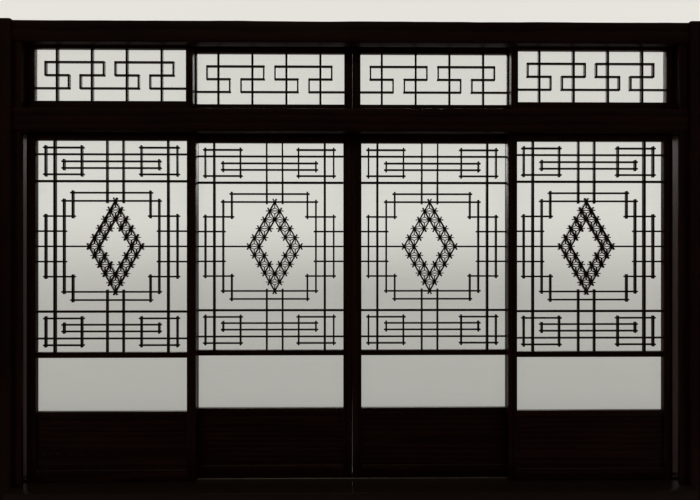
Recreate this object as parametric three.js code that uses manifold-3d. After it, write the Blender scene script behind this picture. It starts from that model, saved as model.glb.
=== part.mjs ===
// One bay of a traditional timber house front: a post-and-beam frame that
// holds four sliding glazed lattice doors in two tracks, and a row of four
// fixed transom sashes over them.
//
// Millimetres. +X is to the right as seen from the room, +Y points outdoors,
// +Z is up. The origin is at the middle of the foot of the whole bay.

import * as THREE from 'three';
import { mergeVertices } from 'three/addons/utils/BufferGeometryUtils.js';
import Module from 'manifold-3d';

const wasm = await Module();
wasm.setup();

// Clearances
const SEAT = 0.3;            // gap between pieces that rest on or in each other
const RUN = 5;               // gap round a piece that slides

// Main frame
const POST = 210;            // side of the square posts
const POST_CHAMFER = 8;
const BAY_HALF = 1787;       // half the clear width between the posts
const JAMB_WIDTH = 45;
const JAMB_FACE = BAY_HALF - JAMB_WIDTH;
const JAMB_ROOM_SIDE = -85;
const JAMB_BACK = -70;       // the doors run behind their jambs
const UPPER_JAMB_BACK = 20;
const SILL_HEIGHT = 90;
const SILL_DEPTH = 300;
const HEAD_DEPTH = 180;
const BEAM_Y = [-95, 55];

// Heights above the foot of the leaves
const LEAF_FOOT = SILL_HEIGHT + RUN;   // height of that foot above the ground
const HEAD_LOW = 1872;
const HEAD_HIGH = 1995;
const BEAM_LOW = 2340;
const BEAM_HIGH = 2455;

// Tracks: leaves 1 and 4 run in the inner one, leaves 2 and 3 in the outer one
const TRACK_PITCH = 48;
const LEAF_THICK = 38;
const LEAF_WIDTH = 893;
const FIRST_LEAF_WIDTH = 903;
const OUTER_CENTRE = 449;    // leaves 2 and 3, from the middle of the bay
const INNER_CENTRE = 1290;   // leaf 4
const FIRST_CENTRE = 1295;   // leaf 1, which is wider on its left
const RAIL_WIDTH = 8;
const RAIL_ABOVE_FOOT = 8;   // how far the metal rail stands up inside a leaf
const TONGUE_THICK = 14;
const TONGUE_HEIGHT = 23;
const TONGUE_TOP = 1890;
const HEAD_GROOVE = 25;

// Leaf: a ladder of two stiles and four rails
const STILE = 47;
const FOOT_RAIL_TOP = 60;
const PANEL_TOP = 346;
const LOW_GLASS_FOOT = 376;
const LOW_GLASS_TOP = 666;
const LATTICE_FOOT = 695;
const LATTICE_TOP = 1834;
const PANEL_THICK = 12;
const PANEL_TONGUE = 10;
const GLASS_THICK = 5;
const GLASS_TONGUE = 8;
const GLASS_FRONT = 0;       // depth of the glass face from the leaf's middle

// Lattice bars, all flush, on the room side of the glass
const BAR_FRONT = -16;
const BAR_BACK = GLASS_FRONT - SEAT;
const MAIN_BAR = 10;
const FINE_BAR = 7;
const OVERRUN = 12;          // how far a fine bar runs past its last crossing
const OFFSET = -7;           // every lattice sits a little left of the middle of its opening,
const FIRST_OFFSET = -2;     // less so in leaf 1

// Places of the lattice bars, from the middle of the lattice
const MAIN_X = 304;
const MAIN_Z = 351;
const CORNER = { x: [160, 353], z: [388, 532] };
const LONG_RING = { x: 255, z: [422, 458] };
const CROSS_LINE_Z = 496;
const STEP_1 = { x: 208, z: 289 };
const STEP_2 = { x: 255, z: 245 };
const STEP_3 = { x: 353, z: 163 };
const SHORT_Z = 82;
const SHIFTS = [20, 28, -15, -12];  // how far right of that middle each leaf's diamond sits, set by hand
const MIDDLE_PAIR = 43.5;    // the two upright bars beside the diamond's tip

// Diamond: a rhombus five units a side, open over three units at its middle
const ROW = STEP_2.z / 5;    // height of one row of its small triangles
const UNIT = ROW / Math.sin(Math.PI / 3);
const DIAMOND_BAR = 6;
const OUTER_SIDE = 2.5;      // half the rhombus's side, in units
const INNER_SIDE = 1.5;
const HALF_BAR = DIAMOND_BAR / 2 / ROW;   // half a bar's width, in units

// Transom sashes
const INNER_SASH = { width: 882, stile: 36 };
const OUTER_SASH = { width: 898, stile: 44 };
const SASH_FOOT = HEAD_HIGH - 5 + SEAT;
const SASH_OPEN = [2045, 2327];
const SASH_TOP = 2360;
const SASH_GROOVE_TOP = 2368;
const SASH_GLASS = 4;
const MEANDER = 13;          // the meander is this many modules wide
const INNER_SASH_CENTRE = JAMB_FACE - SEAT - INNER_SASH.width / 2;
const OUTER_SASH_CENTRE = OUTER_SASH.width / 2 + SEAT;

const COLOURS = {
  timber: { color: 0x3a2116, roughness: 0.55, metalness: 0 },
  leafTimber: { color: 0x33190f, roughness: 0.5, metalness: 0 },
  lattice: { color: 0x2c1710, roughness: 0.5, metalness: 0 },
  glass: { color: 0xdfe8e6, roughness: 0.05, metalness: 0, transparent: true, opacity: 0.3 },
  metal: { color: 0x8c8a84, roughness: 0.35, metalness: 1 },
};

// A block between two corners
function block([x0, x1], [y0, y1], [z0, z1]) {
  const geometry = new THREE.BoxGeometry(x1 - x0, y1 - y0, z1 - z0);
  geometry.translate((x0 + x1) / 2, (y0 + y1) / 2, (z0 + z1) / 2);
  return geometry;
}

// Solids for joining and cutting, and back
function toSolid(geometry) {
  const bare = geometry.clone();
  bare.deleteAttribute('normal');
  bare.deleteAttribute('uv');
  const merged = mergeVertices(bare, 1e-4);
  return new wasm.Manifold(new wasm.Mesh({
    numProp: 3,
    vertProperties: new Float32Array(merged.attributes.position.array),
    triVerts: new Uint32Array(merged.index.array),
  }));
}

function toGeometry(solid) {
  const mesh = solid.getMesh();
  const geometry = new THREE.BufferGeometry();
  geometry.setAttribute('position', new THREE.BufferAttribute(new Float32Array(mesh.vertProperties), 3));
  geometry.setIndex(new THREE.BufferAttribute(new Uint32Array(mesh.triVerts), 1));
  geometry.computeVertexNormals();
  return geometry;
}

const join = (geometries) => geometries.map(toSolid).reduce((sum, solid) => sum.add(solid));
const cut = (solid, geometries) => geometries.map(toSolid).reduce((rest, tool) => rest.subtract(tool), solid);

function named(name, geometry, finish) {
  const mesh = new THREE.Mesh(geometry, new THREE.MeshStandardMaterial(COLOURS[finish]));
  mesh.name = name;
  return mesh;
}

const about = (centre, half) => [centre - half, centre + half];
const fromLeafFoot = (z) => z + LEAF_FOOT;

// Posts with eased corners, from the ground to the top of the beam
function postGeometry() {
  const half = POST / 2;
  const eased = half - POST_CHAMFER;
  const outline = new THREE.Shape([
    [half, -eased], [half, eased], [eased, half], [-eased, half],
    [-half, eased], [-half, -eased], [-eased, -half], [eased, -half],
  ].map(([x, y]) => new THREE.Vector2(x, y)));
  return new THREE.ExtrudeGeometry(outline, { depth: fromLeafFoot(BEAM_HIGH), bevelEnabled: false });
}

function posts() {
  return [['left_post', -1], ['right_post', 1]].map(([name, side]) => {
    const post = named(name, postGeometry(), 'timber');
    post.position.x = side * (BAY_HALF + POST / 2);
    return post;
  });
}

// The sill, the door head and the top beam span between the posts
const spanX = about(0, BAY_HALF - SEAT);
const sashGrooveX = about(0, JAMB_FACE);
const trackY = [-TRACK_PITCH / 2, TRACK_PITCH / 2];

function sill() {
  return named('sill', block(spanX, about(0, SILL_DEPTH / 2), [0, SILL_HEIGHT]), 'timber');
}

function doorHead() {
  const body = join([block(spanX, about(0, HEAD_DEPTH / 2), [HEAD_LOW, HEAD_HIGH].map(fromLeafFoot))]);
  const grooves = trackY.flatMap((y) => [
    block(about(0, BAY_HALF), about(y, TONGUE_THICK / 2 + RUN), [HEAD_LOW - 1, HEAD_LOW + HEAD_GROOVE].map(fromLeafFoot)),
    block(sashGrooveX, about(y, LEAF_THICK / 2 + SEAT), [SASH_FOOT - SEAT, HEAD_HIGH + 1].map(fromLeafFoot)),
  ]);
  return named('door_head', toGeometry(cut(body, grooves)), 'timber');
}

function topBeam() {
  const body = join([block(spanX, BEAM_Y, [BEAM_LOW, BEAM_HIGH].map(fromLeafFoot))]);
  const grooves = trackY.map((y) => (
    block(sashGrooveX, about(y, LEAF_THICK / 2 + SEAT), [BEAM_LOW - 1, SASH_GROOVE_TOP].map(fromLeafFoot))
  ));
  return named('top_beam', toGeometry(cut(body, grooves)), 'timber');
}

// Jambs on the room side of the doors, and short ones beside the transoms
function jambs() {
  const lower = [SILL_HEIGHT + SEAT, fromLeafFoot(HEAD_LOW) - SEAT];
  const upper = [fromLeafFoot(HEAD_HIGH) + SEAT, fromLeafFoot(BEAM_LOW) - SEAT];
  return [['left', -1], ['right', 1]].flatMap(([name, side]) => {
    const x = [side * JAMB_FACE, side * (BAY_HALF - SEAT)].sort((a, b) => a - b);
    return [
      named(`${name}_jamb`, block(x, [JAMB_ROOM_SIDE, JAMB_BACK], lower), 'timber'),
      named(`${name}_upper_jamb`, block(x, [JAMB_ROOM_SIDE, UPPER_JAMB_BACK], upper), 'timber'),
    ];
  });
}

// Flat metal rails that the leaves ride on
function sillRails() {
  const z = [SILL_HEIGHT + SEAT, LEAF_FOOT + RAIL_ABOVE_FOOT];
  return ['inner_rail', 'outer_rail'].map((name, i) => (
    named(name, block(spanX, about(trackY[i], RAIL_WIDTH / 2), z), 'metal')
  ));
}

// Leaf pieces, in a frame at the middle of the leaf's foot
const openHalfOf = (width) => width / 2 - STILE;

const panelBox = (width, grow) => block(
  about(0, openHalfOf(width) + PANEL_TONGUE + grow),
  about(0, PANEL_THICK / 2 + grow),
  [FOOT_RAIL_TOP - PANEL_TONGUE - grow, PANEL_TOP + PANEL_TONGUE + grow],
);

const glassBox = (foot, top, openHalf, thick, grow) => block(
  about(0, openHalf + GLASS_TONGUE + grow),
  [GLASS_FRONT - grow, GLASS_FRONT + thick + grow],
  [foot - GLASS_TONGUE - grow, top + GLASS_TONGUE + grow],
);

const lowGlass = (width, grow) => glassBox(LOW_GLASS_FOOT, LOW_GLASS_TOP, openHalfOf(width), GLASS_THICK, grow);
const highGlass = (width, grow) => glassBox(LATTICE_FOOT, LATTICE_TOP, openHalfOf(width), GLASS_THICK, grow);

function leafFrame(width) {
  const half = LEAF_THICK / 2;
  const wide = about(0, width / 2 + 1);
  const openings = [
    [FOOT_RAIL_TOP, PANEL_TOP], [LOW_GLASS_FOOT, LOW_GLASS_TOP], [LATTICE_FOOT, LATTICE_TOP],
  ].map((z) => block(about(0, openHalfOf(width)), about(0, half + 1), z));
  const tongueSides = [-1, 1].map((side) => {
    const y = [side * TONGUE_THICK / 2, side * (half + 1)].sort((a, b) => a - b);
    return block(wide, y, [TONGUE_TOP - TONGUE_HEIGHT, TONGUE_TOP + 1]);
  });
  const railGroove = block(wide, about(0, RAIL_WIDTH / 2 + RUN), [-1, RAIL_ABOVE_FOOT + SEAT]);
  const body = join([block(about(0, width / 2), about(0, half), [0, TONGUE_TOP])]);
  const seats = [panelBox, lowGlass, highGlass].map((box) => box(width, SEAT));
  return toGeometry(cut(body, [...openings, ...seats, ...tongueSides, railGroove]));
}

const barDepth = [BAR_FRONT, BAR_BACK];
const across = (z, [x0, x1], width) => block([x0, x1], barDepth, about(z, width / 2));
const upright = (x, [z0, z1], width) => block(about(x, width / 2), barDepth, [z0, z1]);
const past = ([a, b]) => [a - OVERRUN, b + OVERRUN];
const mirrored = (side, [a, b]) => (side > 0 ? [a, b] : [-b, -a]);

// The bars that both halves of the lattice share, left and right alike
function latticeSides(stiles, halfHeight) {
  return [-1, 1].flatMap((side) => {
    const reach = side > 0 ? stiles[1] : -stiles[0];
    const bars = [
      upright(side * MAIN_X, [-halfHeight, halfHeight], MAIN_BAR),
      upright(side * STEP_3.x, past([-STEP_3.z, STEP_3.z]), FINE_BAR),
      upright(side * STEP_2.x, past([-STEP_2.z, STEP_2.z]), FINE_BAR),
    ];
    for (const end of [-1, 1]) {
      bars.push(
        across(end * SHORT_Z, mirrored(side, [STEP_2.x - OVERRUN, reach]), FINE_BAR),
        across(end * STEP_3.z, mirrored(side, past([STEP_1.x, STEP_3.x])), FINE_BAR),
        upright(side * STEP_1.x, mirrored(end, past([STEP_3.z, STEP_1.z])), FINE_BAR),
        upright(side * LONG_RING.x, mirrored(end, past(LONG_RING.z)), FINE_BAR),
        ...CORNER.x.map((x) => upright(side * x, mirrored(end, past(CORNER.z)), FINE_BAR)),
        ...CORNER.z.map((z) => across(end * z, mirrored(side, past(CORNER.x)), FINE_BAR)),
      );
    }
    return bars;
  });
}

// The bars that run across the middle, above and below alike
function latticeEnds(stiles, halfHeight, shift) {
  return [-1, 1].flatMap((end) => [
    across(end * MAIN_Z, stiles, MAIN_BAR),
    across(end * CROSS_LINE_Z, stiles, FINE_BAR),
    across(end * STEP_1.z, past([-STEP_1.x, STEP_1.x]), FINE_BAR),
    across(end * STEP_2.z, past([-STEP_2.x, STEP_2.x]), FINE_BAR),
    ...LONG_RING.z.map((z) => across(end * z, past([-LONG_RING.x, LONG_RING.x]), FINE_BAR)),
    ...[-1, 1].map((side) => (
      upright(shift + side * MIDDLE_PAIR, mirrored(end, [STEP_2.z - OVERRUN, halfHeight]), FINE_BAR)
    )),
  ]);
}

// The level bar at mid height stops at the diamond's side tips
function midBars(stiles, shift) {
  const reach = (OUTER_SIDE + HALF_BAR) * UNIT + SEAT;
  return [
    across(0, [stiles[0], shift - reach], FINE_BAR),
    across(0, [shift + reach, stiles[1]], FINE_BAR),
  ];
}

function leafLattice(width, offset, shift) {
  const stiles = about(-offset, openHalfOf(width) - SEAT);
  const halfHeight = (LATTICE_TOP - LATTICE_FOOT) / 2 - SEAT;
  return toGeometry(join([
    ...latticeSides(stiles, halfHeight),
    ...latticeEnds(stiles, halfHeight, shift),
    ...midBars(stiles, shift),
  ]));
}

// Corners of a rhombus whose half side is given in units
const rhombus = (side) => [[side * UNIT, 0], [0, 2 * side * ROW], [-side * UNIT, 0], [0, -2 * side * ROW]];

// The outline is blunt at its upper and lower tips, which stand between two bars
function diamondOutline() {
  const side = OUTER_SIDE + HALF_BAR;
  const reach = STEP_2.z - FINE_BAR / 2 - SEAT;
  const blunt = (2 * side * ROW - reach) * UNIT / (2 * ROW);
  return [
    [side * UNIT, 0], [blunt, reach], [-blunt, reach],
    [-side * UNIT, 0], [-blunt, -reach], [blunt, -reach],
  ];
}

// One open triangle between the bars, pointing up or down
function triangle(x, z, up) {
  const reach = 2 * (ROW / 3 - DIAMOND_BAR / 2);
  return [90, 210, 330].map((degrees) => {
    const angle = THREE.MathUtils.degToRad(degrees);
    return [x + reach * Math.cos(angle), z + up * reach * Math.sin(angle)];
  });
}

// Each cell of the band is split by a level bar into two triangles
function diamondOpenings() {
  const openings = [rhombus(INNER_SIDE - HALF_BAR)];
  for (let a = -OUTER_SIDE; a < OUTER_SIDE; a += 1) {
    for (let b = -OUTER_SIDE; b < OUTER_SIDE; b += 1) {
      const inBand = Math.abs(a + 0.5) > INNER_SIDE || Math.abs(b + 0.5) > INNER_SIDE;
      if (inBand) {
        const x = (a + b + 1) * UNIT / 2;
        const z = (a - b) * ROW;
        openings.push(triangle(x, z + ROW / 3, 1), triangle(x, z - ROW / 3, -1));
      }
    }
  }
  return openings;
}

// An outline in x and z, given a depth
function prism(corners, [y0, y1]) {
  const outline = new THREE.Shape(corners.map(([x, z]) => new THREE.Vector2(x, z)));
  const geometry = new THREE.ExtrudeGeometry(outline, { depth: y1 - y0, bevelEnabled: false });
  geometry.rotateX(Math.PI / 2);
  geometry.translate(0, y1, 0);
  return geometry;
}

function leafDiamond() {
  const plate = toSolid(prism(diamondOutline(), barDepth));
  const through = [BAR_FRONT - 1, BAR_BACK + 1];
  return toGeometry(cut(plate, diamondOpenings().map((corners) => prism(corners, through))));
}

function leaf(number, x, y, shift, width = LEAF_WIDTH, offset = OFFSET) {
  const group = new THREE.Group();
  const middle = (LATTICE_FOOT + LATTICE_TOP) / 2;
  const lattice = named(`leaf_${number}_lattice`, leafLattice(width, offset, shift), 'lattice');
  lattice.position.set(offset, 0, middle);
  const diamond = named(`leaf_${number}_diamond`, leafDiamond(), 'lattice');
  diamond.position.set(offset + shift, 0, middle);
  group.add(
    named(`leaf_${number}_frame`, leafFrame(width), 'leafTimber'),
    named(`leaf_${number}_panel`, panelBox(width, 0), 'leafTimber'),
    named(`leaf_${number}_lower_glass`, lowGlass(width, 0), 'glass'),
    named(`leaf_${number}_upper_glass`, highGlass(width, 0), 'glass'),
    lattice,
    diamond,
  );
  group.position.set(x, y, LEAF_FOOT);
  return group;
}

// Transom sash: a frame with its meander bars, and a pane behind them
const sashGlass = (openHalf, grow) => glassBox(SASH_OPEN[0], SASH_OPEN[1], openHalf, SASH_GLASS, grow);

function meanderBars(openHalf) {
  const module = 2 * openHalf / MEANDER;
  const x = (modules) => OFFSET - openHalf + modules * module;
  const z = (quarters) => SASH_OPEN[0] + quarters * (SASH_OPEN[1] - SASH_OPEN[0]) / 4;
  const edge = openHalf + 1;
  const level = (quarter, from, to) => across(
    z(quarter),
    [from > 0 ? x(from) - FINE_BAR / 2 : -edge, to < MEANDER ? x(to) + FINE_BAR / 2 : edge],
    FINE_BAR,
  );
  const turn = (at, low) => upright(x(at), [z(low) - FINE_BAR / 2, z(low + 1) + FINE_BAR / 2], FINE_BAR);
  return [
    ...[2, 5, 8, 11].map((at) => upright(x(at), [SASH_OPEN[0] - 1, SASH_OPEN[1] + 1], MAIN_BAR)),
    ...[[1, 6], [7, 12]].map(([from, to]) => level(3, from, to)),
    ...[[1, 3], [4, 6], [7, 9], [10, 12]].map(([from, to]) => level(2, from, to)),
    ...[[0, 3], [4, 9], [10, 13]].map(([from, to]) => level(1, from, to)),
    ...[1, 6, 7, 12].map((at) => turn(at, 2)),
    ...[3, 4, 9, 10].map((at) => turn(at, 1)),
  ];
}

function transom(number, x, y, { width, stile }) {
  const group = new THREE.Group();
  const openHalf = width / 2 - stile;
  const half = LEAF_THICK / 2;
  const body = join([block(about(0, width / 2), about(0, half), [SASH_FOOT, SASH_TOP])]);
  const opening = block(about(0, openHalf), about(0, half + 1), SASH_OPEN);
  const frame = cut(body, [opening, sashGlass(openHalf, SEAT)]);
  group.add(
    named(`transom_${number}_sash`, toGeometry(frame.add(join(meanderBars(openHalf)))), 'leafTimber'),
    named(`transom_${number}_glass`, sashGlass(openHalf, 0), 'glass'),
  );
  group.position.set(x, y, LEAF_FOOT);
  return group;
}

// Leaves and transoms from left to right; the outer two are in the inner track
function leaves() {
  const [inner, outer] = trackY;
  return [
    leaf(1, -FIRST_CENTRE, inner, SHIFTS[0], FIRST_LEAF_WIDTH, FIRST_OFFSET),
    leaf(2, -OUTER_CENTRE, outer, SHIFTS[1]),
    leaf(3, OUTER_CENTRE, outer, SHIFTS[2]),
    leaf(4, INNER_CENTRE, inner, SHIFTS[3]),
  ];
}

function transoms() {
  const [inner, outer] = trackY;
  return [
    transom(1, -INNER_SASH_CENTRE, inner, INNER_SASH),
    transom(2, -OUTER_SASH_CENTRE, outer, OUTER_SASH),
    transom(3, OUTER_SASH_CENTRE, outer, OUTER_SASH),
    transom(4, INNER_SASH_CENTRE, inner, INNER_SASH),
  ];
}

const bay = new THREE.Group();
bay.add(
  ...posts(), sill(), doorHead(), topBeam(), ...jambs(), ...sillRails(),
  ...leaves(), ...transoms(),
);

export default bay;
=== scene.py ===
"""Dressed model of one bay of a traditional timber house front: four glazed lattice
sliding doors in two tracks, four lattice transoms, and the hewn frame that holds them.

Shapes are laid out in millimetres, in the CAD frame: +X right as seen from the room,
+Y outdoors, +Z up. They become metres when a mesh is made. The backdrop, the lamps and
the camera are in metres from the start."""
import itertools
import math
import random

import bmesh
import bpy
from mathutils import Matrix, Vector, noise


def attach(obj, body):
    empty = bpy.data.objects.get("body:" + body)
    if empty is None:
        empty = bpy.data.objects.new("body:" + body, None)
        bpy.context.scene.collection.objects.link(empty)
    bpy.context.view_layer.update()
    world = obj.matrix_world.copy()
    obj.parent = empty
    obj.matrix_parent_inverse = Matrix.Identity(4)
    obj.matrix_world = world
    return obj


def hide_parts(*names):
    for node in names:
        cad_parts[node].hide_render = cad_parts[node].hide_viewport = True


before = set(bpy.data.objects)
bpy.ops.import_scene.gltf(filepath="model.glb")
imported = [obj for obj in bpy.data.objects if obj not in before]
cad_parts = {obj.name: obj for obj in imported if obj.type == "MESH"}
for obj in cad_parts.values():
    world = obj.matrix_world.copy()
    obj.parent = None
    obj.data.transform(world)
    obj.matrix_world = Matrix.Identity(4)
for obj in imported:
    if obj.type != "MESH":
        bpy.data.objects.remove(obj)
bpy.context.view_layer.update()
rng = random.Random(1874)

MM = 0.001

# Main frame, as in the CAD source
POST = 210
BAY_HALF = 1787
JAMB_WIDTH = 45
JAMB_FACE = BAY_HALF - JAMB_WIDTH
SEAT = 0.3             # gap between a piece and what it sits in
SILL_HEIGHT = 90
SILL_DEPTH = 300
LEAF_FOOT = 95
HEAD = (1872 + LEAF_FOOT, 1995 + LEAF_FOOT)
HEAD_DEPTH = 180
BEAM = (2340 + LEAF_FOOT, 2455 + LEAF_FOOT)
BEAM_Y = (-95, 55)
DOOR_GROOVE = (12, 25)            # half the width and the depth of the head's grooves for the leaves,
SASH_FOOT_GROOVE = (19.3, 4.7)    # of its grooves for the transoms,
SASH_TOP_GROOVE = (19.3, 28)      # and of the beam's
LIP = 27               # height of the lip behind the beam's outer groove, to just under the groove's roof
LIP_KEPT = 0.25        # share of it that stays over the transoms in the inner track
OUTER_TRANSOMS = 905   # just past the ends of the transoms in the outer track, from the middle
JAMB_Y = {"jamb": (-85, -70), "upper_jamb": (-85, 20)}
TRACKS = (-24, 24)
RAIL_TOP = LEAF_FOOT + 8
RAIL_RADIUS = 4        # of a sill rail's round crown, and half its width

# Leaves
LEAF_HEIGHT = 1890
LEAF_THICK = 38
STILE = 47
RAILS = ((0, 60), (346, 376), (666, 695), (1834, LEAF_HEIGHT))
TONGUE = (14, 1867)
RAIL_GROOVE = (18, 8.3)
PANEL = (50, 356)
PANEL_SEAT = 9.5       # how far the panel reaches into the stiles
PANEL_HALF = 6         # half the panel's thickness
LOW_GLASS = (376, 666)
HIGH_GLASS = (695, 1834)
GLASS_THICK = 5
REBATE = 10            # how far the pane's rebate is cut into the frame round it
BEAD_BACK = 4          # how far a glazing bead stays back from the opening
BEAD_EDGE, BEAD_DEPTH, BEAD_SLOPE = 5, 8, 2.5
MEETING = 2.35         # how much closer each middle stile comes to the other than its solid does,
PARTING = (590, 0.43)  # and under which height and by how much that lessens towards the foot
LATTICE_MIDDLE = (HIGH_GLASS[0] + HIGH_GLASS[1]) / 2
OFFSET = -7            # how far most lattices stand off the middle of their sash
# Each leaf's middle, track, side on which it meets another leaf, width, and how far its lattice
# stands off its middle and its diamond off the lattice's
LEAVES = ((-1295, TRACKS[0], 0, 903, -2, 20),
          (-449, TRACKS[1], 1, 893, OFFSET, 28),
          (449, TRACKS[1], -1, 893, OFFSET, -15),
          (1290, TRACKS[0], 0, 893, OFFSET, -12))

# Lattice bars, from the middle of the lattice
BAR_FRONT = -16
LAP = 0.4              # how much deeper each layer of bars lies than the one before it
MAIN_BAR = 11.4
FINE_BAR = 8.4
OVERRUN = 12
MAIN_X = 304
MAIN_Z = 351
CORNER_X, CORNER_Z = (160, 353), (388, 532)
LONG_X, LONG_Z = 255, (422, 458)
CROSS_Z = 496
STEP_1, STEP_2, STEP_3 = (208, 289), (255, 245), (353, 163)
SHORT_Z = 82
MIDDLE_PAIR = 43.5

# Diamond
ROW = STEP_2[1] / 5
UNIT = ROW / math.sin(math.pi / 3)
SLANT_BAR = 7
LEVEL_BAR = 4.8
SPOKE = 4
TICK = 20              # how far a bar of the diamond runs past its last crossing

# Transoms
SASH_Z = (1990.3, 2360)
SASH_OPEN = (2045, 2327)
SASH_GLASS = 4
# Each transom's middle, track, width and width of its stiles
TRANSOMS = ((-1300.7, TRACKS[0], 882, 36),
            (-449.3, TRACKS[1], 898, 44),
            (449.3, TRACKS[1], 898, 44),
            (1300.7, TRACKS[0], 882, 36))
# The meander, in modules of the opening's width and quarters of its height: the main uprights,
# the level runs at each quarter, and the uprights that join a quarter to the next
MODULES = 13
MEANDER_MAIN = (2, 5, 8, 11)
MEANDER_RUNS = {3: ((1, 6), (7, 12)), 2: ((1, 3), (4, 6), (7, 9), (10, 12)), 1: ((0, 3), (4, 9), (10, 13))}
MEANDER_JOINS = {2: (1, 6, 7, 12), 1: (3, 4, 9, 10)}

# How timbers are worn: the noise's pace along and across them, and the parts of the wear
WAVE_ALONG, WAVE_ACROSS, FINE_WAVE = 0.0022, 0.011, 5.3
WEAR_EVEN, WEAR_COARSE, WEAR_FINE = 0.5, 0.55, 0.25
WEAR_ARRIS = 1.7       # how much more a rounded arris is worn
CHECK_ROOM = 9         # how far other points of the outline keep from a drying check
CHECK_SHUT = 0.08      # half the width of a check where it is closed

# Colours and backdrop
WORN = (0.16, 0.075, 0.04)
# pale colour for dusty ledges; it also paints the daylight that falls on them
LEDGE_DUST_AND_LIGHT = (0.30, 0.255, 0.205)
BACKDROP = (0.30, 0.295, 0.285)
OUTDOOR_GLOW = (0.74, 0.725, 0.69)
ROOM_GLOW = (0.020, 0.016, 0.012)
ROOM_END, OUTDOOR_START = -1.2, 2.0
FLOOR_GLOW = 0.62      # share of the wall's glow that the floor has
WALL_START = 2.2       # height from which the wall glows in full

# The photograph's camera, its width and focal length in pixels
PHOTO_WIDTH, FOCAL_LENGTH = 700, 435.8
EYE = (-0.033, -2.392, 1.340)
EYE_TURN = -0.0083
SENSOR = 36.0


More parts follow.
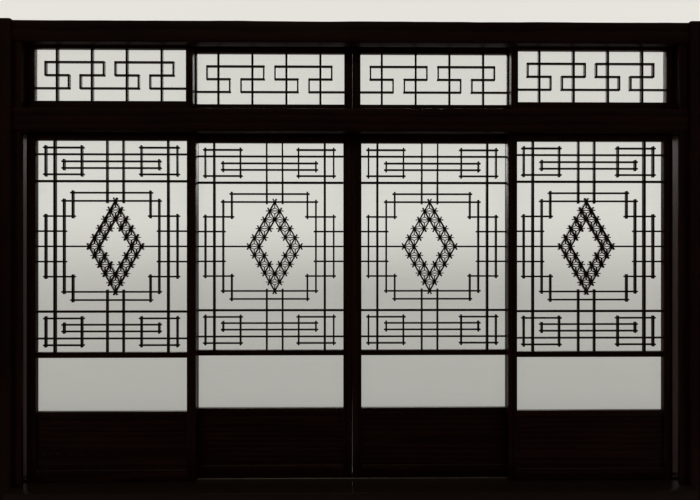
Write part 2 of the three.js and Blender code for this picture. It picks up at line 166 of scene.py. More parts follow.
class Work:
    """The solids of one piece. Each is a board with a grain of its own."""

    def __init__(self):
        self.verts, self.faces, self.grain = [], [], []

    def add(self, verts, faces, along):
        """along: 0, 1 or 2 for the axis that the grain follows, or a direction."""
        lead = Vector([float(i == along) for i in range(3)]) if isinstance(along, int) else along
        side = lead.cross(Vector((0, 1, 0))) if abs(lead.y) < 0.9 else Vector((1, 0, 0))
        side.normalize()
        deep = lead.cross(side)
        middle = sum(verts, Vector()) / len(verts)
        angle, far = rng.uniform(0, 2 * math.pi), rng.uniform(40, 150)
        start = Vector((rng.uniform(-4000, 4000), far * math.cos(angle), far * math.sin(angle)))
        base = len(self.verts)
        for v in verts:
            p = v - middle
            self.grain.append((Vector((p.dot(lead), p.dot(side), p.dot(deep))) + start) * MM)
        self.verts += [v * MM for v in verts]
        self.faces += [[base + i for i in f] for f in faces]

    def solid(self, bm, along, bevel, segments=1, turn=None):
        """Adds a bmesh solid with its outer edges eased."""
        bmesh.ops.recalc_face_normals(bm, faces=bm.faces)
        if bevel:
            sharp = [e for e in bm.edges if e.is_manifold and e.calc_face_angle_signed() > 0.5]
            bmesh.ops.bevel(bm, geom=sharp, offset=bevel, segments=segments, profile=0.5, affect="EDGES",
                            clamp_overlap=True)
        if turn:
            bm.transform(turn)
        bm.verts.index_update()
        self.add([v.co.copy() for v in bm.verts], [[v.index for v in f.verts] for f in bm.faces], along)
        bm.free()

    def board(self, x, y, z, along, bevel=0.8, segments=1, turn=None):
        """A straight board between two corners."""
        bm = bmesh.new()
        corners = [bm.verts.new((a, b, c)) for a in x for b in y for c in z]
        for quad in ((0, 1, 3, 2), (4, 6, 7, 5), (0, 4, 5, 1), (2, 3, 7, 6), (0, 2, 6, 4), (1, 5, 7, 3)):
            bm.faces.new([corners[i] for i in quad])
        self.solid(bm, along, bevel, segments, turn)

    def stepped(self, x, y, z, cuts, along, bevel=0.8, segments=1, bend=None):
        """A board between two corners with boxes cut out of it, each box an (x, y, z) of ranges.

        bend: a height, and how far a point under it moves."""
        marks = [sorted({*span, *(v for cut in cuts for v in cut[k] if span[0] < v < span[1])})
                 for k, span in enumerate((x, y, z))]
        cells = [[(a + b) / 2 for a, b in zip(line, line[1:])] for line in marks]

        def filled(cell):
            if not all(0 <= c < len(line) for c, line in zip(cell, cells)):
                return False
            spot = [line[c] for c, line in zip(cell, cells)]
            return not any(all(low < v < high for v, (low, high) in zip(spot, cut)) for cut in cuts)

        bm = bmesh.new()
        made = {}
        for cell in itertools.product(*(range(len(line)) for line in cells)):
            if not filled(cell):
                continue
            for axis, step in itertools.product(range(3), (0, 1)):
                beside = [c + (2 * step - 1) * (k == axis) for k, c in enumerate(cell)]
                if filled(beside):
                    continue
                u, v = [k for k in range(3) if k != axis]
                quad = []
                for du, dv in ((0, 0), (1, 0), (1, 1), (0, 1)):
                    key = list(cell)
                    key[axis] += step
                    key[u] += du
                    key[v] += dv
                    key = tuple(key)
                    if key not in made:
                        made[key] = bm.verts.new([line[i] for line, i in zip(marks, key)])
                    quad.append(made[key])
                bm.faces.new(quad)
        bmesh.ops.recalc_face_normals(bm, faces=bm.faces)
        bmesh.ops.dissolve_limit(bm, angle_limit=0.01, verts=bm.verts, edges=bm.edges)
        if bend:
            height, shift = bend
            bmesh.ops.bisect_plane(bm, geom=[*bm.verts, *bm.edges, *bm.faces], plane_co=(0, 0, height),
                                   plane_no=(0, 0, 1))
            for v in bm.verts:
                v.co += shift(v.co)
        self.solid(bm, along, bevel, segments)

    def prism(self, x, outline, along, bevel=1.0, segments=2):
        """An outline in y and z, drawn out along x."""
        bm = bmesh.new()
        ends = [[bm.verts.new((at, a, b)) for a, b in outline] for at in x]
        count = len(outline)
        bm.faces.new(ends[0])
        bm.faces.new(list(reversed(ends[1])))
        for i in range(count):
            j = (i + 1) % count
            bm.faces.new([ends[0][i], ends[1][i], ends[1][j], ends[0][j]])
        self.solid(bm, along, bevel, segments)

    def object(self, name, material, body, replaces=(), sharp=38):
        """Makes the piece, rides it on its body and lets it stand for CAD nodes."""
        mesh = bpy.data.meshes.new(name)
        mesh.from_pydata(self.verts, [], self.faces)
        mesh.attributes.new("grain", "FLOAT_VECTOR", "POINT").data.foreach_set(
            "vector", [c for g in self.grain for c in g])
        mesh.polygons.foreach_set("use_smooth", [True] * len(mesh.polygons))
        mesh.set_sharp_from_angle(angle=math.radians(sharp))
        mesh.materials.append(material)
        piece = bpy.data.objects.new(name, mesh)
        bpy.context.scene.collection.objects.link(piece)
        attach(piece, body)
        if replaces:
            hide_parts(*replaces)
        return piece


def about(centre, half):
    return (centre - half, centre + half)


class Check:
    """A drying split that runs along one face, from start to end."""

    def __init__(self, at, start, end, width, depth):
        self.at, self.start, self.end, self.width, self.depth = at, start, end, width, depth
        self.seed = rng.uniform(0, 500)

    def opening(self, s):
        share = (s - self.start) / (self.end - self.start)
        if not 0 < share < 1:
            return 0.0
        rough = 0.75 + 0.5 * noise.noise(Vector((s * 0.02, self.seed, 0)))
        return rough * math.sin(math.pi * share) ** 0.6

    def drift(self, s):
        wide, fine = Vector((s * 0.004, self.seed, 7)), Vector((s * 0.03, self.seed, 3))
        return 5 * noise.noise(wide) + 1.2 * noise.noise(fine)


def outline_points(corners, radius, step, checks):
    """Points (a, b, wear, check, role) round an outline of corners (a, b, wear).

    A worn corner is rounded, and a run between two worn corners gets points to hew."""
    count = len(corners)
    points = []
    for i in range(count):
        a, b, wear = corners[i]
        here = Vector((a, b))
        before = Vector(corners[i - 1][:2]) - here
        after = Vector(corners[(i + 1) % count][:2]) - here
        if wear:
            start, end = here + before.normalized() * radius, here + after.normalized() * radius
            for t in (0, 0.25, 0.5, 0.75, 1):
                p = start * (1 - t) ** 2 + here * 2 * t * (1 - t) + end * t ** 2
                points.append((p.x, p.y, wear * (1.0 if t in (0, 1) else WEAR_ARRIS), None, 0))
        else:
            end = here
            points.append((a, b, 0, None, 0))
        if wear and corners[(i + 1) % count][2]:
            reach = after - after.normalized() * 2 * radius
            steps = max(1, round(reach.length / step))
            run = [end + reach * k / steps for k in range(1, steps)]
            points += splits(run, after.normalized(), checks.get(i, []), wear)
    return points


def splits(run, direction, checks, wear):
    """Puts three points for each check into a run of points along a face."""
    marked = [(p.dot(direction), (p.x, p.y, wear, None, 0)) for p in run]
    origin = run[0] - direction * run[0].dot(direction) if run else Vector((0, 0))
    for check in checks:
        marked = [m for m in marked if abs(m[0] - check.at) > CHECK_ROOM]
        for role in (-1, 0, 1):
            p = origin + direction * check.at
            marked.append((check.at + role * 0.01, (p.x, p.y, wear, check, role)))
    return [point for _, point in sorted(marked, key=lambda m: m[0])]


def hewn(work, axis, span, corners, radius=5, step=22, wear=1.2, checks=None, pitch=30, seed=0.0, trim=None):
    """Draws an outline along an axis (0 or 2), with a surface worn inwards by up to about wear.

    radius: of its arrises, which are worn more.
    step, pitch: from point to point round the outline, and along the axis.
    trim: moves a point of the outline, given how far along the axis it is."""
    points = outline_points(corners, radius, step, checks or {})
    count = len(points)
    flat = [Vector(p[:2]) for p in points]
    area = sum(flat[i - 1].cross(flat[i]) for i in range(count))
    outward = []
    for i in range(count):
        j, k = i - 1, (i + 1) % count
        while (flat[i] - flat[j]).length < 0.5:
            j -= 1
        while (flat[k] - flat[i]).length < 0.5:
            k = (k + 1) % count
        run = (flat[i] - flat[j]).normalized() + (flat[k] - flat[i]).normalized()
        normal = Vector((run.y, -run.x)) * (1 if area > 0 else -1)
        outward.append(normal.normalized())
    rings = max(2, round((span[1] - span[0]) / pitch))
    verts = []
    for r in range(rings + 1):
        s = span[0] + (span[1] - span[0]) * r / rings
        for (a, b, give, check, role), normal in zip(points, outward):
            p = Vector((a, b))
            q = Vector((s * WAVE_ALONG, a * WAVE_ACROSS, b * WAVE_ACROSS + seed))
            loss = WEAR_EVEN + WEAR_COARSE * noise.noise(q) + WEAR_FINE * noise.noise(q * FINE_WAVE)
            loss *= give * wear
            if check:
                wide, tangent = check.opening(s), Vector((-normal.y, normal.x))
                gap = (role * (CHECK_SHUT + check.width * wide / 2)) * (1 if area > 0 else -1)
                p += tangent * (check.drift(s) + gap)
                loss += (role == 0) * check.depth * wide
            p -= normal * max(0.0, loss)
            if trim:
                p = trim(s, p)
            verts.append(Vector((s, p.x, p.y)) if axis == 0 else Vector((p.x, p.y, s)))
    faces = []
    for r in range(rings):
        for i in range(count):
            j = (i + 1) % count
            faces.append([r * count + i, r * count + j, (r + 1) * count + j, (r + 1) * count + i])
    faces += [list(range(count)), [rings * count + i for i in range(count)]]
    bm = bmesh.new()
    made = [bm.verts.new(v) for v in verts]
    for f in faces:
        bm.faces.new([made[i] for i in f])
    work.solid(bm, axis, 0)


def box_corners(a, b, wear=1):
    return [(a[0], b[0], wear), (a[1], b[0], wear), (a[1], b[1], wear), (a[0], b[1], wear)]


class Tree:
    """The nodes of a material or a lamp, with values and links set as they are made."""

    def __init__(self, owner):
        owner.use_nodes = True
        self.owner, self.tree = owner, owner.node_tree

    def node(self, kind, inputs=None, **settings):
        made = self.tree.nodes.new("ShaderNode" + kind)
        for key, value in settings.items():
            setattr(made, key, value)
        for key, value in (inputs or {}).items():
            if isinstance(value, bpy.types.NodeSocket):
                self.tree.links.new(value, made.inputs[key])
            else:
                made.inputs[key].default_value = value
        return made

    def math(self, operation, a, b=0.0, c=0.0, clamp=False):
        return self.node("Math", {0: a, 1: b, 2: c}, operation=operation, use_clamp=clamp).outputs[0]

    def off_middle(self, value):
        """How far a value from 0 to 1 is from one half."""
        return self.math("ABSOLUTE", self.math("SUBTRACT", value, 0.5))

    def scaled(self, vector, by):
        return self.node("VectorMath", {0: vector, 1: by}, operation="MULTIPLY").outputs[0]

    def noise(self, vector, scale, detail=3.0, rough=0.55):
        made = self.node("TexNoise", {"Vector": vector, "Scale": scale, "Detail": detail, "Roughness": rough})
        return made.outputs["Fac"]

    def ramp(self, value, *stops):
        made = self.node("ValToRGB", {"Fac": value})
        elements = made.color_ramp.elements
        while len(elements) < len(stops):
            elements.new(0.5)
        for element, (at, colour) in zip(elements, stops):
            element.position = at
            element.color = (*colour, 1) if isinstance(colour, tuple) else (colour, colour, colour, 1)
        return made.outputs["Color"]

    def mix(self, share, a, b):
        made = self.node("Mix", {"Factor": share}, data_type="RGBA")
        for socket, value in ((made.inputs[6], a), (made.inputs[7], b)):
            if isinstance(value, bpy.types.NodeSocket):
                self.tree.links.new(value, socket)
            else:
                socket.default_value = (*value, 1)
        return made.outputs[2]

    def done(self, shader):
        self.node("OutputMaterial", {"Surface": shader})
        return self.owner


def new_material(name):
    t = Tree(bpy.data.materials.new(name))
    t.tree.nodes.clear()
    return t


def wood(name, dark, middle, pale, roughness, coat, shine, rings, wear, dust_and_light):
    """Stained timber: growth rings, fibres and pores along the grain, worn arrises, and a pale, dusty colour
    on up-facing faces that also paints the daylight falling on the ledges.
    """
    t = new_material(name)
    grain = t.node("Attribute", attribute_name="grain").outputs["Vector"]
    slow = t.scaled(grain, (0.9, 5, 5))
    sway = t.node("TexNoise", {"Vector": slow, "Scale": 1.0, "Detail": 2.0}).outputs["Color"]
    bend = t.node("VectorMath", {0: sway, 1: (0.5, 0.5, 0.5)}, operation="SUBTRACT").outputs[0]
    drift = t.scaled(bend, (0.0, 0.035, 0.035))
    path = t.node("VectorMath", {0: drift, 1: grain}, operation="ADD").outputs[0]
    wave = {"Vector": path, "Scale": rings, "Distortion": 1.2, "Detail": 2.0, "Detail Scale": 2.0}
    ring = t.node("TexWave", wave, wave_type="RINGS", rings_direction="X", wave_profile="SAW").outputs["Fac"]
    fibre = t.noise(t.scaled(path, (7, 330, 330)), 1.0, 5.0, 0.62)
    blotch = t.noise(t.scaled(grain, (2.2, 14, 14)), 1.0, 3.0)
    pore = t.noise(t.scaled(path, (45, 1500, 1500)), 1.0, 2.0, 0.5)
    pores = t.ramp(pore, (0.30, 1.0), (0.42, 0.0))
    tone = t.math("ADD", t.math("MULTIPLY", ring, 0.34), t.math("MULTIPLY", fibre, 0.52))
    tone = t.math("ADD", tone, t.math("MULTIPLY_ADD", blotch, 0.5, -0.22), clamp=True)
    colour = t.ramp(tone, (0.22, dark), (0.5, middle), (0.82, pale))
    colour = t.mix(t.math("MULTIPLY", pores, 0.5), colour, tuple(c * 0.35 for c in dark))
    eased = t.node("Bevel", {"Radius": 0.0035}, samples=4).outputs["Normal"]
    normal = t.node("NewGeometry").outputs["Normal"]
    facing = t.node("VectorMath", {0: eased, 1: normal}, operation="DOT_PRODUCT").outputs["Value"]
    arris = t.ramp(t.math("SUBTRACT", 1.0, facing), (0.02, 0.0), (0.16, 1.0))
    rubbed = t.math("MULTIPLY", arris, t.ramp(blotch, (0.36, 0.1), (0.62, wear)))
    colour = t.mix(rubbed, colour, WORN)
    up = t.node("SeparateXYZ", {"Vector": normal}).outputs["Z"]
    speck = t.ramp(t.noise(t.node("TexCoord").outputs["Object"], 38.0, 4.0, 0.7), (0.34, 0.15), (0.7, dust_and_light))
    # painted light: up-facing faces get a pale, dusty colour that also stands for the daylight on the ledges
    dust_and_ledge_light = t.math("MULTIPLY", t.ramp(up, (0.55, 0.0), (0.98, 1.0)), speck)
    colour = t.mix(dust_and_ledge_light, colour, LEDGE_DUST_AND_LIGHT)
    rough = t.math("MULTIPLY_ADD", tone, 0.16, roughness - 0.06)
    rough = t.math("MULTIPLY_ADD", blotch, 0.14, t.math("SUBTRACT", rough, 0.07))
    rough = t.math("MULTIPLY_ADD", dust_and_ledge_light, 0.3, rough, clamp=True)
    height = t.math("ADD", t.math("MULTIPLY", ring, 0.3), t.math("MULTIPLY", fibre, 0.7))
    height = t.math("SUBTRACT", height, t.math("MULTIPLY", pores, 0.5))
    bump = t.node("Bump", {"Height": height, "Strength": 0.55, "Distance": 0.0006}).outputs["Normal"]
    shader = t.node("BsdfPrincipled", {"Base Color": colour, "Roughness": rough, "Normal": bump,
                                       "Coat Weight": coat, "Coat Roughness": 0.16, "IOR": 1.45,
                                       "Specular IOR Level": shine})
    return t.done(shader.outputs[0])


def pane(name):
    """Clear old glass: faint reflections, dust towards its edges and a few wiping streaks."""
    t = new_material(name)
    spot = t.node("TexCoord")
    place = t.node("SeparateXYZ", {"Vector": spot.outputs["Generated"]})
    edge = t.math("MAXIMUM", *(t.off_middle(place.outputs[axis]) for axis in "XZ"))
    edge = t.ramp(edge, (0.40, 0.0), (0.5, 1.0))
    cloud = t.noise(spot.outputs["Object"], 5.0, 5.0, 0.6)
    wipe = t.noise(t.node("Mapping", {"Vector": spot.outputs["Object"], "Rotation": (0, 0.5, 0),
                                      "Scale": (3, 1, 26)}).outputs[0], 1.4, 4.0, 0.6)
    fine = t.noise(spot.outputs["Object"], 320.0, 2.0, 0.6)
    film = t.math("MULTIPLY", t.ramp(wipe, (0.52, 0.0), (0.75, 1.0)), t.ramp(cloud, (0.4, 0.0), (0.7, 1.0)))
    film = t.math("MULTIPLY_ADD", film, 0.03, 0.004)
    specks = t.math("MULTIPLY", t.ramp(fine, (0.60, 0.0), (0.72, 1.0)), 0.03)
    dusty = t.math("MULTIPLY", edge, t.math("MULTIPLY_ADD", cloud, 0.05, specks))
    share = t.math("ADD", dusty, film, clamp=True)
    lit = t.node("BsdfTranslucent", {"Color": (0.80, 0.78, 0.74, 1)})
    matt = t.node("BsdfDiffuse", {"Color": (0.72, 0.70, 0.66, 1)})
    veil = t.node("MixShader", {0: 0.35, 1: lit.outputs[0], 2: matt.outputs[0]})
    clear = t.node("BsdfTransparent", {"Color": (0.955, 0.965, 0.96, 1)})
    shine = t.node("BsdfGlossy", {"Color": (1, 1, 1, 1), "Roughness": 0.0})
    away = t.node("LayerWeight", {"Blend": 0.5}).outputs["Facing"]
    mirror = t.math("MULTIPLY_ADD", t.math("POWER", away, 5.0), 0.92, 0.08)
    entering = t.math("SUBTRACT", 1.0, t.node("NewGeometry").outputs["Backfacing"])
    mirror = t.math("MULTIPLY", mirror, entering)
    glass = t.node("MixShader", {0: mirror, 1: clear.outputs[0], 2: shine.outputs[0]})
    return t.done(t.node("MixShader", {0: share, 1: glass.outputs[0], 2: veil.outputs[0]}).outputs[0])


def rail_metal(name):
    """Drawn steel rail, dull and brown on its sides, rubbed bright along its crown."""
    t = new_material(name)
    place = t.node("TexCoord").outputs["Object"]
    stain = t.noise(t.scaled(place, (6, 40, 40)), 1.0, 5.0, 0.65)
    drawn = t.noise(t.scaled(place, (3, 900, 900)), 1.0, 3.0, 0.6)
    up = t.node("SeparateXYZ", {"Vector": t.node("NewGeometry").outputs["Normal"]}).outputs["Z"]
    crown = t.ramp(up, (0.3, 0.0), (0.85, 1.0))
    dull = t.mix(stain, (0.12, 0.085, 0.055), (0.30, 0.25, 0.19))
    colour = t.mix(crown, dull, (0.62, 0.57, 0.48))
    rough = t.math("MULTIPLY_ADD", crown, -0.25, t.math("MULTIPLY_ADD", stain, 0.2, 0.42))
    bump = t.node("Bump", {"Height": drawn, "Strength": 0.3, "Distance": 0.0002}).outputs["Normal"]
    shader = t.node("BsdfPrincipled", {"Base Color": colour, "Roughness": rough, "Metallic": 1.0,
                                       "Normal": bump})
    return t.done(shader.outputs[0])


FRAME_WOOD = wood("frame_wood", (0.019, 0.0052, 0.0022), (0.042, 0.0125, 0.0052), (0.082, 0.027, 0.0110),
                  roughness=0.38, coat=0.05, shine=0.16, rings=7.5, wear=0.5, dust_and_light=0.45)
SILL_WOOD = wood("sill_wood", (0.020, 0.0056, 0.0024), (0.044, 0.0135, 0.0056), (0.086, 0.029, 0.0120),
                 roughness=0.30, coat=0.6, shine=0.2, rings=7.5, wear=0.7, dust_and_light=0.18)
SASH_WOOD = wood("sash_wood", (0.021, 0.0060, 0.0027), (0.045, 0.0137, 0.0060), (0.087, 0.029, 0.0125),
                 roughness=0.33, coat=0.08, shine=0.14, rings=11.5, wear=0.45, dust_and_light=0.5)
BAR_WOOD = wood("bar_wood", (0.017, 0.0050, 0.0024), (0.034, 0.0108, 0.0050), (0.062, 0.021, 0.0095),
                roughness=0.35, coat=0.10, shine=0.15, rings=16.5, wear=0.35, dust_and_light=0.5)
PANE = pane("pane")
RAIL_METAL = rail_metal("rail_metal")


def posts():
    for name, side in (("left", -1), ("right", 1)):
        x = about(side * (BAY_HALF + POST / 2), POST / 2)
        y = about(0, POST / 2)
        checks = {0: [Check(x[0] + 118, 500, 2100, 2.6, 16)], 2: [Check(-(x[0] + 92), 300, 1500, 2.2, 14)],
                  1: [Check(30, 900, 2300, 2.0, 12)], 3: [Check(-30, 200, 1700, 2.4, 14)]}
        work = Work()
        hewn(work, 2, (0, BEAM[1]), box_corners(x, y), radius=8, wear=1.6, checks=checks, pitch=28,
             seed=side * 9.0)
        work.object(f"{name}_post_timber", FRAME_WOOD, "root", [f"{name}_post"])


def beams():
    reach = (-BAY_HALF + SEAT, BAY_HALF - SEAT)
    half = SILL_DEPTH / 2
    sill = Work()
    hewn(sill, 0, reach, box_corners((-half, half), (0, SILL_HEIGHT)), radius=7, wear=0.9, step=25, pitch=30,
         checks={2: [Check(96, 250, 1300, 1.6, 8)]}, seed=3.0)
    sill.object("sill_timber", SILL_WOOD, "root", ["sill"])

    low, high = HEAD
    half = HEAD_DEPTH / 2
    head = Work()
    corners = [(-half, low, 1), *grooved(low, 1, *DOOR_GROOVE), (half, low, 1), (half, high, 1),
               *grooved(high, -1, *SASH_FOOT_GROOVE), (-half, high, 1)]
    checks = [Check(-(low + 74), -1500, -350, 2.2, 12), Check(-(low + 38), 500, 1650, 1.8, 10)]
    hewn(head, 0, reach, corners, radius=4, wear=1.5, step=18, pitch=30, checks={len(corners) - 1: checks},
         seed=11.0)
    head.object("door_head_timber", FRAME_WOOD, "root", ["door_head"])

    low, high = BEAM
    front, back = BEAM_Y
    beam = Work()
    corners = [(front, low, 1), *grooved(low, 1, *SASH_TOP_GROOVE), (back, low, 1), (back, high, 1),
               (front, high, 1)]
    checks = [Check(-(low + 46), -600, 1200, 2.6, 14), Check(-(low + 78), -1650, -700, 2.2, 12)]

    def trim(s, p):
        """Cuts back the lip behind the outer groove where only the inner track holds a transom."""
        lip = p.x > TRACKS[1] + LEAF_THICK / 2 and p.y < low + LIP
        if not lip or abs(s) <= OUTER_TRANSOMS:
            return p
        return Vector((p.x, low + LIP - (low + LIP - p.y) * LIP_KEPT))

    hewn(beam, 0, reach, corners, radius=9, wear=2.4, step=18, pitch=30, checks={len(corners) - 1: checks},
         seed=23.0, trim=trim)
    beam.object("top_beam_timber", FRAME_WOOD, "root", ["top_beam"])


def grooved(edge, way, half, depth):
    """Corners of both tracks' grooves in an edge.

    way: 1 for a lower edge, whose corners run outdoors, -1 for an upper one, whose corners run back."""
    corners = []
    for y in TRACKS if way > 0 else reversed(TRACKS):
        for side, deep in ((-way, 0), (-way, 1), (way, 1), (way, 0)):
            corners.append((y + side * half, edge + way * deep * depth, 0))
    return corners


def jambs():
    spans = {"jamb": (SILL_HEIGHT + SEAT, HEAD[0] - SEAT), "upper_jamb": (HEAD[1] + SEAT, BEAM[0] - SEAT)}
    for name, side in (("left", -1), ("right", 1)):
        x = sorted((side * JAMB_FACE, side * (BAY_HALF - SEAT)))
        for kind, z in spans.items():
            work = Work()
            hewn(work, 2, z, box_corners(x, JAMB_Y[kind]), radius=2.5, wear=0.7, step=20, pitch=28,
                 seed=side * 31.0)
            work.object(f"{name}_{kind}_timber", FRAME_WOOD, "root", [f"{name}_{kind}"])


def sill_rails():
    for name, y in zip(("inner_rail", "outer_rail"), TRACKS):
        centre = RAIL_TOP - RAIL_RADIUS
        angles = [math.pi * k / 8 for k in range(9)]
        crown = [(y + RAIL_RADIUS * math.cos(a), centre + RAIL_RADIUS * math.sin(a)) for a in angles]
        low = SILL_HEIGHT + SEAT
        work = Work()
        outline = [(y - RAIL_RADIUS, low), (y + RAIL_RADIUS, low), *crown]
        work.prism(about(0, BAY_HALF - SEAT), outline, 0, bevel=0)
        work.object(f"{name}_metal", RAIL_METAL, "root", [name], sharp=50)


def rebates(cx, cy, open_half, openings):
    """Boxes to cut round each opening, from the pane to the outdoor face."""
    return [(about(cx, open_half + REBATE), (cy - SEAT, cy + LEAF_THICK), (z[0] - REBATE, z[1] + REBATE))
            for z in openings]


def over_foot(span):
    """Heights over the leaves' feet, as heights over the ground."""
    return (LEAF_FOOT + span[0], LEAF_FOOT + span[1])


def parting(cx, side, open_half):
    """The bend of a middle stile: under a height, its outer part draws back more and more."""
    height, reach = PARTING

    def shift(spot):
        low = max(0.0, 1 - (spot.z - LEAF_FOOT) / height)
        return Vector((-side * reach * low * (abs(spot.x - cx) > open_half + 1), 0, 0))

    return LEAF_FOOT + height, shift


def leaf_frame(work, cx, cy, width, meets):
    open_half = width / 2 - STILE
    y = about(cy, LEAF_THICK / 2)
    tongue, shoulder = TONGUE
    groove, deep = RAIL_GROOVE
    wide = about(cx, width)
    cuts = rebates(cx, cy, open_half, (over_foot(LOW_GLASS), over_foot(HIGH_GLASS)))
    cuts.append((wide, about(cy, groove / 2), over_foot((-1, deep))))
    for side in (-1, 1):
        cheek = sorted((cy + side * tongue / 2, cy + side * LEAF_THICK))
        cuts.append((wide, cheek, over_foot((shoulder, LEAF_HEIGHT + 1))))
    for side in (-1, 1):
        edge = width / 2 + (MEETING if side == meets else 0)
        x = sorted((cx + side * open_half, cx + side * edge))
        bend = parting(cx, side, open_half) if side == meets else None
        work.stepped(x, y, over_foot((0, LEAF_HEIGHT)), cuts, along=2, bevel=1.2, segments=2, bend=bend)
    for rail in RAILS:
        work.stepped(about(cx, open_half), y, over_foot(rail), cuts, along=0, bevel=0.7, segments=2)


def glazing_bead(work, x, z, y):
    """Mitred strips that hold a pane in its rebate, set back so that the front hides them."""
    wall = SEAT - REBATE
    profile = [(wall, 0), (-BEAD_BACK, 0), (-BEAD_BACK, BEAD_EDGE), (-BEAD_BACK - BEAD_SLOPE, BEAD_DEPTH),
               (wall, BEAD_DEPTH)]
    corners = [(x[0], z[0], 1, 1), (x[1], z[0], -1, 1), (x[1], z[1], -1, -1), (x[0], z[1], 1, -1)]
    for i in range(4):
        ends = (corners[i], corners[(i + 1) % 4])
        bm = bmesh.new()
        rings = [[bm.verts.new((cx + sx * d, y + h, cz + sz * d)) for d, h in profile]
                 for cx, cz, sx, sz in ends]
        bm.faces.new(rings[0])
        bm.faces.new(list(reversed(rings[1])))
        for k in range(len(profile)):
            m = (k + 1) % len(profile)
            bm.faces.new([rings[0][k], rings[1][k], rings[1][m], rings[0][m]])
        work.solid(bm, 0 if i % 2 == 0 else 2, 0)


def bar_depth(cy, layer):
    """From a bar's front to just before the pane. Each layer is a little thinner than the one before."""
    return (cy + BAR_FRONT + LAP * layer, cy - SEAT - LAP * layer)


def bars(work, cx, cy, cz):
    """Helpers that lay level and upright bars, with places measured from (cx, cz)."""
    def across(z, x, width):
        work.board((cx + x[0], cx + x[1]), bar_depth(cy, 1), about(cz + z, width / 2), 0)

    def upright(x, z, width):
        work.board(about(cx + x, width / 2), bar_depth(cy, 0), (cz + z[0], cz + z[1]), 2)

    return across, upright


def past(pair):
    """A bar's ends, with what it runs past the bars that it crosses."""
    return (pair[0] - OVERRUN, pair[1] + OVERRUN)


def mirrored(side, pair):
    """A range from the middle, mirrored where the side is negative."""
    return pair if side > 0 else (-pair[1], -pair[0])


def leaf_lattice(work, cx, cy, shift, open_half, offset):
    cz = LEAF_FOOT + LATTICE_MIDDLE
    across, upright = bars(work, cx + offset, cy, cz)
    stiles = (-offset - open_half + SEAT, -offset + open_half - SEAT)
    tall = (HIGH_GLASS[1] - HIGH_GLASS[0]) / 2 - SEAT
    for side in (-1, 1):
        reach = abs(stiles[0] if side < 0 else stiles[1])
        upright(side * MAIN_X, (-tall, tall), MAIN_BAR)
        upright(side * STEP_3[0], past((-STEP_3[1], STEP_3[1])), FINE_BAR)
        upright(side * STEP_2[0], past((-STEP_2[1], STEP_2[1])), FINE_BAR)
        for end in (-1, 1):
            across(end * SHORT_Z, mirrored(side, (STEP_2[0] - OVERRUN, reach)), FINE_BAR)
            across(end * STEP_3[1], mirrored(side, past((STEP_1[0], STEP_3[0]))), FINE_BAR)
            upright(side * STEP_1[0], mirrored(end, past((STEP_3[1], STEP_1[1]))), FINE_BAR)
            upright(side * LONG_X, mirrored(end, past(LONG_Z)), FINE_BAR)
            for x in CORNER_X:
                upright(side * x, mirrored(end, past(CORNER_Z)), FINE_BAR)
            for z in CORNER_Z:
                across(end * z, mirrored(side, past(CORNER_X)), FINE_BAR)
    for end in (-1, 1):
        across(end * MAIN_Z, stiles, MAIN_BAR)
        across(end * CROSS_Z, stiles, FINE_BAR)
        across(end * STEP_1[1], past((-STEP_1[0], STEP_1[0])), FINE_BAR)
        across(end * STEP_2[1], past((-STEP_2[0], STEP_2[0])), FINE_BAR)
        for z in LONG_Z:
            across(end * z, past((-LONG_X, LONG_X)), FINE_BAR)
        for side in (-1, 1):
            upright(shift + side * MIDDLE_PAIR, mirrored(end, (STEP_2[1] - OVERRUN, tall)), FINE_BAR)
    tip = 2.5 * UNIT
    across(0, (stiles[0], shift - tip), FINE_BAR)
    across(0, (shift + tip, stiles[1]), FINE_BAR)


def diamond(work, cx, cy, cz):
    """Bars on a grid of triangles, five units a side and open in the middle."""
    def spot(u, v):
        return Vector(((u + v) * UNIT / 2, 0, (u - v) * ROW))

    def bar(a, b, width, layer, extra=TICK):
        run = b - a
        long, lead = run.length / 2 + extra, run.normalized()
        middle = Vector((cx, 0, cz)) + (a + b) / 2
        turn = Matrix.Translation(middle) @ Matrix.Rotation(math.atan2(-lead.z, lead.x), 4, "Y")
        work.board((-long, long), bar_depth(cy, layer), about(0, width / 2), lead, bevel=0.7, turn=turn)

    for k in (-2.5, -1.5, 1.5, 2.5):
        bar(spot(k, -2.5), spot(k, 2.5), SLANT_BAR, 2)
        bar(spot(-2.5, k), spot(2.5, k), SLANT_BAR, 3)
    for k in (-0.5, 0.5):
        for low, high in ((-2.5, -1.5), (1.5, 2.5)):
            bar(spot(k, low), spot(k, high), SLANT_BAR, 2)
            bar(spot(low, k), spot(high, k), SLANT_BAR, 3)
    for k in range(-4, 5):
        outer, inner = (5 - abs(k)) / 2 * UNIT, (3 - abs(k)) / 2 * UNIT
        level = k * ROW
        runs = [(-outer, outer)] if inner <= 0 else [(-outer, -inner), (inner, outer)]
        for x0, x1 in runs:
            bar(Vector((x0, 0, level)), Vector((x1, 0, level)), LEVEL_BAR, 4)
    cells = (-2.5, -1.5, -0.5, 0.5, 1.5)
    for a in cells:
        for b in cells:
            if a in cells[1:4] and b in cells[1:4]:
                continue
            for up in (1, -1):
                centre = Vector(((a + b + 1) * UNIT / 2, 0, (a - b) * ROW + up * ROW / 3))
                for degrees in (90, 210, 330):
                    angle = math.radians(degrees)
                    corner = centre + Vector((math.cos(angle), 0, up * math.sin(angle))) * ROW * 2 / 3
                    bar(centre, corner, SPOKE, 6, 0)


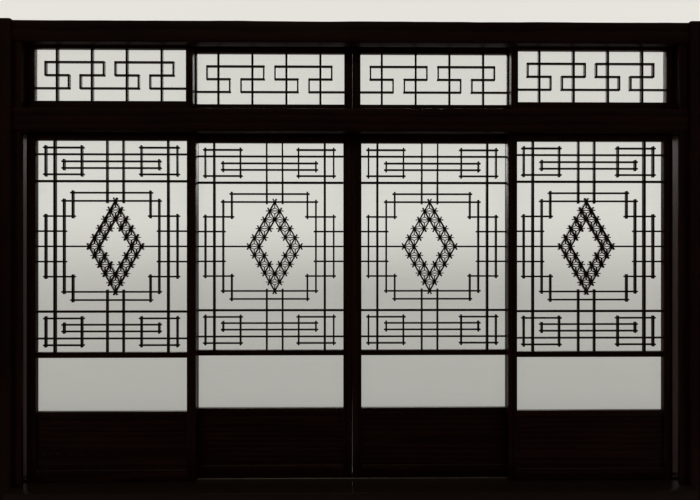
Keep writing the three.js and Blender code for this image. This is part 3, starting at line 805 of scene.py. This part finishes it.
def leaf(number, cx, cy, meets, width, offset, shift):
    body = f"leaf_{number}"
    open_half = width / 2 - STILE
    ladder = Work()
    leaf_frame(ladder, cx, cy, width, meets)
    ladder.object(f"{body}_frame_timber", SASH_WOOD, body, [f"{body}_frame"])
    panel = Work()
    panel.board(about(cx, open_half + PANEL_SEAT), about(cy, PANEL_HALF), over_foot(PANEL), 0, bevel=0.6)
    panel.object(f"{body}_panel_timber", SASH_WOOD, body, [f"{body}_panel"])
    holders = Work()
    for z in (LOW_GLASS, HIGH_GLASS):
        glazing_bead(holders, about(cx, open_half), over_foot(z), cy + GLASS_THICK + SEAT)
    holders.object(f"{body}_beads", SASH_WOOD, body)
    lattice = Work()
    leaf_lattice(lattice, cx, cy, shift, open_half, offset)
    lattice.object(f"{body}_lattice_timber", BAR_WOOD, body, [f"{body}_lattice"])
    star = Work()
    diamond(star, cx + offset + shift, cy, LEAF_FOOT + LATTICE_MIDDLE)
    star.object(f"{body}_diamond_timber", BAR_WOOD, body, [f"{body}_diamond"])


def meander(work, cx, cy, foot, top, open_half):
    """The main uprights of a transom and the key pattern between them."""
    across, upright = bars(work, cx + OFFSET, cy, foot)
    module = 2 * open_half / MODULES
    grip = FINE_BAR / 2
    ends = (-OFFSET - open_half, -OFFSET + open_half)

    def place(modules):
        return -open_half + modules * module

    def height(quarters):
        return quarters * (top - foot) / 4

    for at in MEANDER_MAIN:
        upright(place(at), (0, top - foot), MAIN_BAR)
    for quarter, runs in MEANDER_RUNS.items():
        for start, end in runs:
            left = place(start) - grip if start > 0 else ends[0]
            right = place(end) + grip if end < MODULES else ends[1]
            across(height(quarter), (left, right), FINE_BAR)
    for quarter, places in MEANDER_JOINS.items():
        for at in places:
            upright(place(at), (height(quarter) - grip, height(quarter + 1) + grip), FINE_BAR)


def transom(number, cx, cy, width, stile):
    open_half = width / 2 - stile
    y = about(cy, LEAF_THICK / 2)
    (low, high), (foot, top) = over_foot(SASH_Z), over_foot(SASH_OPEN)
    work = Work()
    cuts = rebates(cx, cy, open_half, ((foot, top),))
    for side in (-1, 1):
        x = sorted((cx + side * open_half, cx + side * width / 2))
        work.stepped(x, y, (low, high), cuts, along=2, bevel=0.9, segments=2)
    for z in ((low, foot), (top, high)):
        work.stepped(about(cx, open_half), y, z, cuts, along=0, bevel=0.7, segments=2)
    glazing_bead(work, about(cx, open_half), (foot, top), cy + SASH_GLASS + SEAT)
    meander(work, cx, cy, foot, top, open_half)
    work.object(f"transom_{number}_sash_timber", SASH_WOOD, "root", [f"transom_{number}_sash"])


def glaze():
    """The panes are the CAD's own, with old glass on them."""
    for name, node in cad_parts.items():
        if name.endswith("_glass"):
            node.data.materials.clear()
            node.data.materials.append(PANE)


def stage_material(name, colour):
    """Pale paint that glows softly: bright outdoors, faint and warm on the room side, least on the floor."""
    t = new_material(name)
    place = t.node("SeparateXYZ", {"Vector": t.node("TexCoord").outputs["Object"]})
    outdoors = t.node("MapRange", {"Value": place.outputs["Y"], "From Min": ROOM_END,
                                   "From Max": OUTDOOR_START}, interpolation_type="SMOOTHERSTEP")
    rise = t.node("MapRange", {"Value": place.outputs["Z"], "From Max": WALL_START, "To Min": FLOOR_GLOW,
                               "To Max": 1.0}, interpolation_type="SMOOTHSTEP")
    tint = t.mix(outdoors.outputs[0], ROOM_GLOW, OUTDOOR_GLOW)
    glow = t.node("VectorMath", {0: tint, "Scale": rise.outputs[0]}, operation="SCALE")
    paint = t.node("BsdfDiffuse", {"Color": (*colour, 1)})
    shine = t.node("Emission", {"Color": glow.outputs[0], "Strength": 1.0})
    return t.done(t.node("AddShader", {0: paint.outputs[0], 1: shine.outputs[0]}).outputs[0])


def cove():
    """A pale floor that curves up into a round wall."""
    radius, bend, high, sides = 8.0, 2.0, 9.0, 96
    line = [(0.0, 0.0), (radius - bend, 0.0)]
    line += [(radius - bend + bend * math.sin(a), bend - bend * math.cos(a))
             for a in [math.pi / 2 * k / 10 for k in range(1, 11)]]
    line.append((radius, high))
    bm = bmesh.new()
    middle = bm.verts.new((0, 0, 0))
    rings = [[bm.verts.new((r * math.cos(2 * math.pi * i / sides), r * math.sin(2 * math.pi * i / sides), z))
              for i in range(sides)] for r, z in line[1:]]
    for i in range(sides):
        j = (i + 1) % sides
        bm.faces.new((middle, rings[0][i], rings[0][j]))
        for inner, outer in zip(rings, rings[1:]):
            bm.faces.new((inner[i], outer[i], outer[j], inner[j]))
    mesh = bpy.data.meshes.new("floor")
    bm.to_mesh(mesh)
    bm.free()
    mesh.polygons.foreach_set("use_smooth", [True] * len(mesh.polygons))
    mesh.materials.append(stage_material("stage_pale", BACKDROP))
    floor = bpy.data.objects.new("floor", mesh)
    floor.location = (0, 0, -0.001)
    bpy.context.scene.collection.objects.link(floor)


def light(name, place, target, size, power, colour, only_gloss=False):
    data = bpy.data.lights.new(name, "AREA")
    data.shape, data.size, data.size_y = "RECTANGLE", size[0], size[1]
    data.energy, data.color = power, colour
    lamp = bpy.data.objects.new(name, data)
    lamp.location = place
    lamp.rotation_euler = (Vector(target) - Vector(place)).to_track_quat("-Z", "Y").to_euler()
    lamp.visible_camera = False
    lamp.visible_diffuse = not only_gloss
    bpy.context.scene.collection.objects.link(lamp)
    return data


def soft_edges(lamp):
    """Lets a lamp fade towards its edges, so that no hard edge shows where it is mirrored."""
    t = Tree(lamp)
    place = t.node("SeparateXYZ", {"Vector": t.node("NewGeometry").outputs["Parametric"]})
    fades = [t.node("MapRange", {"Value": t.off_middle(place.outputs[axis]), "From Min": 0.3, "From Max": 0.5,
                                 "To Min": 1.0, "To Max": 0.0}, interpolation_type="SMOOTHSTEP")
             for axis in "XY"]
    strength = t.math("MULTIPLY", *(fade.outputs[0] for fade in fades))
    t.tree.links.new(strength, t.tree.nodes["Emission"].inputs["Strength"])


def lighting():
    """Soft daylight behind the bay, and very little in the room."""
    sky = light("sky", (0.0, 5.6, 4.8), (0.0, 0.0, 4.2), (9.0, 5.0), 650, (1.0, 0.98, 0.95), only_gloss=True)
    soft_edges(sky)
    light("room", (-1.2, -4.5, 6.6), (0.0, 0.0, 1.2), (3.5, 2.5), 14, (1.0, 0.80, 0.60))
    world = bpy.data.worlds.new("world")
    world.use_nodes = True
    back = world.node_tree.nodes["Background"]
    back.inputs[0].default_value = (0.95, 0.93, 0.90, 1)
    back.inputs[1].default_value = 0.06
    bpy.context.scene.world = world


def camera():
    """At the photograph's place: level, a little left of the middle, turned half a degree right."""
    data = bpy.data.cameras.new("camera")
    data.sensor_width, data.lens = SENSOR, SENSOR * FOCAL_LENGTH / PHOTO_WIDTH
    data.clip_start, data.clip_end = 0.05, 60
    eye = bpy.data.objects.new("camera", data)
    eye.location = EYE
    eye.rotation_euler = (math.pi / 2, 0, EYE_TURN)
    bpy.context.scene.collection.objects.link(eye)
    bpy.context.scene.camera = eye


posts()
beams()
jambs()
sill_rails()
for number, settings in enumerate(LEAVES, 1):
    leaf(number, *settings)
for number, settings in enumerate(TRANSOMS, 1):
    transom(number, *settings)
glaze()
cove()
lighting()
camera()

view_settings = bpy.context.scene.view_settings
view_settings.view_transform = "Standard"
view_settings.gamma = 0.85
